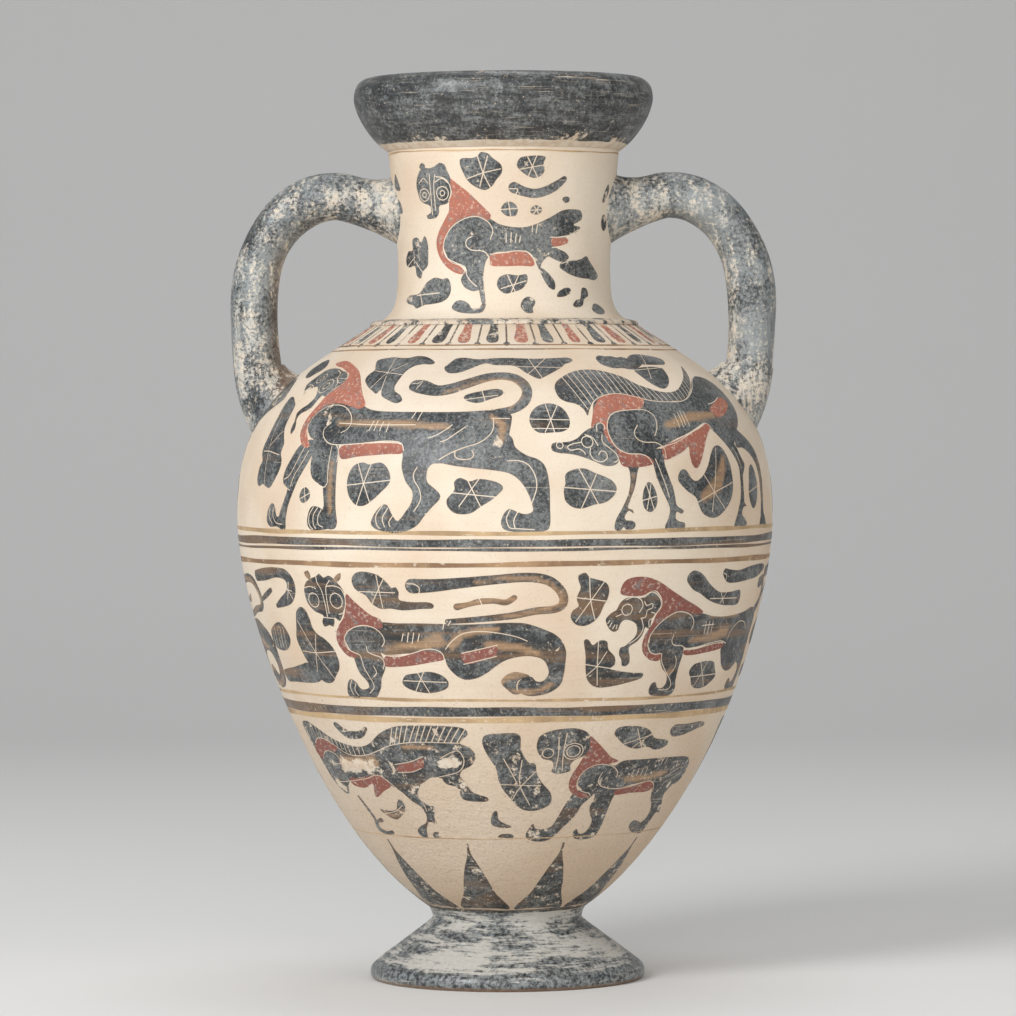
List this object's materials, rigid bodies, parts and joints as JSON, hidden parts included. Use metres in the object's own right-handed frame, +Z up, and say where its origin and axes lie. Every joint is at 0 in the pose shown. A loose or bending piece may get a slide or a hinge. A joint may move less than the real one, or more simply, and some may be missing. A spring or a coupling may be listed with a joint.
{
  "type": "amphora",
  "caption": "Ovoid neck-amphora with an echinus mouth, cylindrical neck, rod handles from neck to shoulder, conical foot and painted animal friezes.",
  "frame": {"origin": "centre of the foot's resting plane, on the pot's turning axis", "axes": "+Z up along the turning axis, handles along X, painted front facing -Y"},
  "size_m": [0.2438, 0.2384, 0.4],
  "materials": {
    "clay": "matt, fine-grained cream clay with polished patches",
    "slip": "satin blue-black slip, worn to brown and to bare clay",
    "added_red": "matt iron red laid over the slip",
    "thin_slip": "diluted slip fired brown, matt",
    "worn_slip": "weathered grey-black slip with whitish lime deposit"
  },
  "bodies": {
    "root": {"mouth": "slip", "neck": "clay", "neck_collar": "clay", "shoulder": "clay", "belly": "clay", "foot": "worn_slip", "handle_left": "slip", "handle_left_upper_luting": "slip", "handle_left_lower_luting": "slip", "handle_right": "slip", "handle_right_upper_luting": "slip", "handle_right_lower_luting": "slip"}
  },
  "joints": []
}
